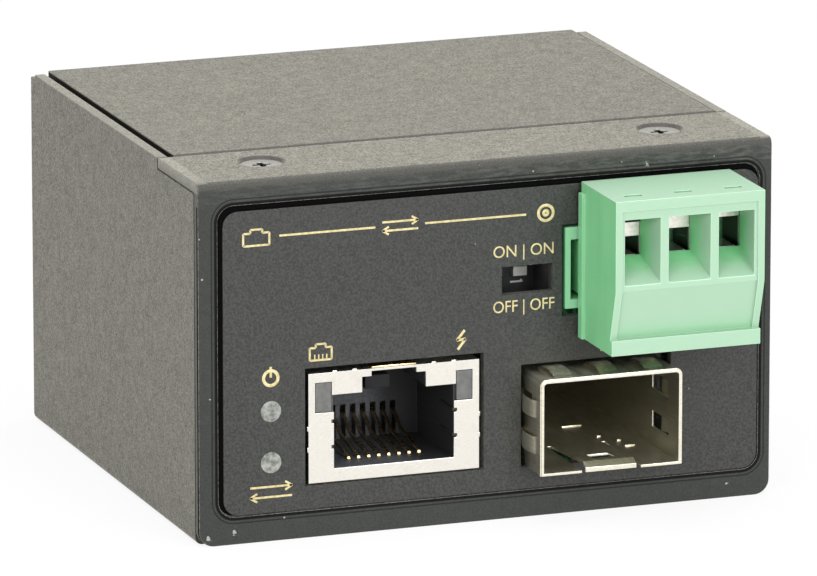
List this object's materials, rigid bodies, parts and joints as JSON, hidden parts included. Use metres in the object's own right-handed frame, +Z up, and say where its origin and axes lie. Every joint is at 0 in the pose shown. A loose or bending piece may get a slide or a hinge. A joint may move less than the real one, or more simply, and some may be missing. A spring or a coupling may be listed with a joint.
{
  "type": "fibre media converter",
  "caption": "Small folded-steel network media converter with a copper jack, an optical module cage, a slide switch window, status lamps and a pluggable green screw terminal.",
  "frame": {"origin": "middle of the case's footprint, on the face that it rests on", "axes": "+Z up, +Y towards the back of the case, +X to the right as seen from the front"},
  "size_m": [0.058, 0.0605, 0.0353],
  "materials": {
    "case_black": "matt black powder coat with a fine texture",
    "screw_black": "black zinc, satin",
    "label_film": "satin black printed film",
    "zinc_steel": "bright zinc",
    "main_board_green": "green solder mask",
    "nickel_sheet": "nickel plated sheet",
    "connector_black": "moulded black nylon",
    "gold_contact": "gold flash",
    "tinned": "tin plate",
    "light_pipe": "translucent",
    "lamp_clear": "water-clear epoxy",
    "slider_white": "moulded white",
    "terminal_green": "moulded green polyamide",
    "screw_steel": "zinc plated",
    "ceramic": "fired ceramic",
    "fuse_brown": "moulded brown",
    "capacitor_sleeve": "shrink sleeve",
    "ferrite": "sintered ferrite",
    "winding_tape": "yellow tape over the winding"
  },
  "bodies": {
    "chassis": {"base_shell": "case_black", "board_screws": "zinc_steel", "board_spacers": "zinc_steel", "chip_capacitors": "ceramic", "chip_leads": "tinned", "clip_nuts": "zinc_steel", "core_regulator": "connector_black", "crystal": "tinned", "dip_body": "connector_black", "dip_pins": "tinned", "flange_screws": "screw_black", "flash_memory": "connector_black", "front_label": "label_film", "front_panel": "case_black", "header_pins": "tinned", "input_capacitor": "capacitor_sleeve", "input_diode": "connector_black", "input_fuse": "fuse_brown", "lamp_holder": "connector_black", "lamp_leads": "tinned", "lan_transformer": "connector_black", "link_header": "connector_black", "link_lamp": "lamp_clear", "link_pins": "tinned", "link_socket": "connector_black", "lip_nuts": "zinc_steel", "main_board": "main_board_green", "main_chip": "connector_black", "output_capacitor": "capacitor_sleeve", "power_board": "main_board_green", "power_controller": "connector_black", "power_inductor": "connector_black", "power_lamp": "lamp_clear", "power_leads": "tinned", "rear_screws": "screw_black", "rj45_contacts": "gold_contact", "rj45_housing": "connector_black", "rj45_light_pipe_left": "light_pipe", "rj45_light_pipe_right": "light_pipe", "rj45_shield": "nickel_sheet", "sfp_cage": "nickel_sheet", "sfp_connector": "connector_black", "sfp_connector_pins": "gold_contact", "sfp_spring_collar": "nickel_sheet", "standoffs": "zinc_steel", "terminal_header": "terminal_green", "top_cover": "case_black", "transformer_bobbin": "connector_black", "transformer_core": "ferrite", "transformer_winding": "winding_tape"},
    "plug": {"plug_housing": "terminal_green", "plug_contacts": "tinned"},
    "dip_slider_1": {"dip_slider_1": "slider_white"},
    "dip_slider_2": {"dip_slider_2": "slider_white"},
    "clamp_cage_1": {"clamp_cage_1": "tinned"},
    "clamp_screw_1": {"clamp_screw_1": "screw_steel"},
    "clamp_cage_2": {"clamp_cage_2": "tinned"},
    "clamp_screw_2": {"clamp_screw_2": "screw_steel"},
    "clamp_cage_3": {"clamp_cage_3": "tinned"},
    "clamp_screw_3": {"clamp_screw_3": "screw_steel"}
  },
  "joints": [
    {"name": "plug_pull", "type": "slide", "parent": "chassis", "child": "plug", "axis": [0, -1, 0], "range_m": [0, 0.016]},
    {"name": "dip_slide_1", "type": "slide", "parent": "chassis", "child": "dip_slider_1", "axis": [0, 0, 1], "range_m": [0, 0.00105]},
    {"name": "dip_slide_2", "type": "slide", "parent": "chassis", "child": "dip_slider_2", "axis": [0, 0, 1], "range_m": [0, 0.00105]},
    {"name": "clamp_cage_1_lift", "type": "slide", "parent": "plug", "child": "clamp_cage_1", "axis": [0, 0, 1], "range_m": [-0.0015, 0.0011]},
    {"name": "clamp_screw_1_turn", "type": "hinge", "parent": "plug", "child": "clamp_screw_1", "pos_m": [0.01187, -0.02895, 0.0187], "axis": [0, 0, 1], "range_deg": [-792.1, 1080.1]},
    {"name": "clamp_cage_2_lift", "type": "slide", "parent": "plug", "child": "clamp_cage_2", "axis": [0, 0, 1], "range_m": [-0.00192, 0.00068]},
    {"name": "clamp_screw_2_turn", "type": "hinge", "parent": "plug", "child": "clamp_screw_2", "pos_m": [0.01695, -0.02895, 0.0187], "axis": [0, 0, 1], "range_deg": [-489.7, 1382.5]},
    {"name": "clamp_cage_3_lift", "type": "slide", "parent": "plug", "child": "clamp_cage_3", "axis": [0, 0, 1], "range_m": [-0.0026, 0]},
    {"name": "clamp_screw_3_turn", "type": "hinge", "parent": "plug", "child": "clamp_screw_3", "pos_m": [0.02203, -0.02895, 0.0187], "axis": [0, 0, 1], "range_deg": [0, 1872.1]}
  ],
  "couplings": [
    {"joint": "clamp_screw_1_turn", "follows": "clamp_cage_1_lift", "rad_per_m": -12566},
    {"joint": "clamp_screw_2_turn", "follows": "clamp_cage_2_lift", "rad_per_m": -12566},
    {"joint": "clamp_screw_3_turn", "follows": "clamp_cage_3_lift", "rad_per_m": -12566}
  ]
}
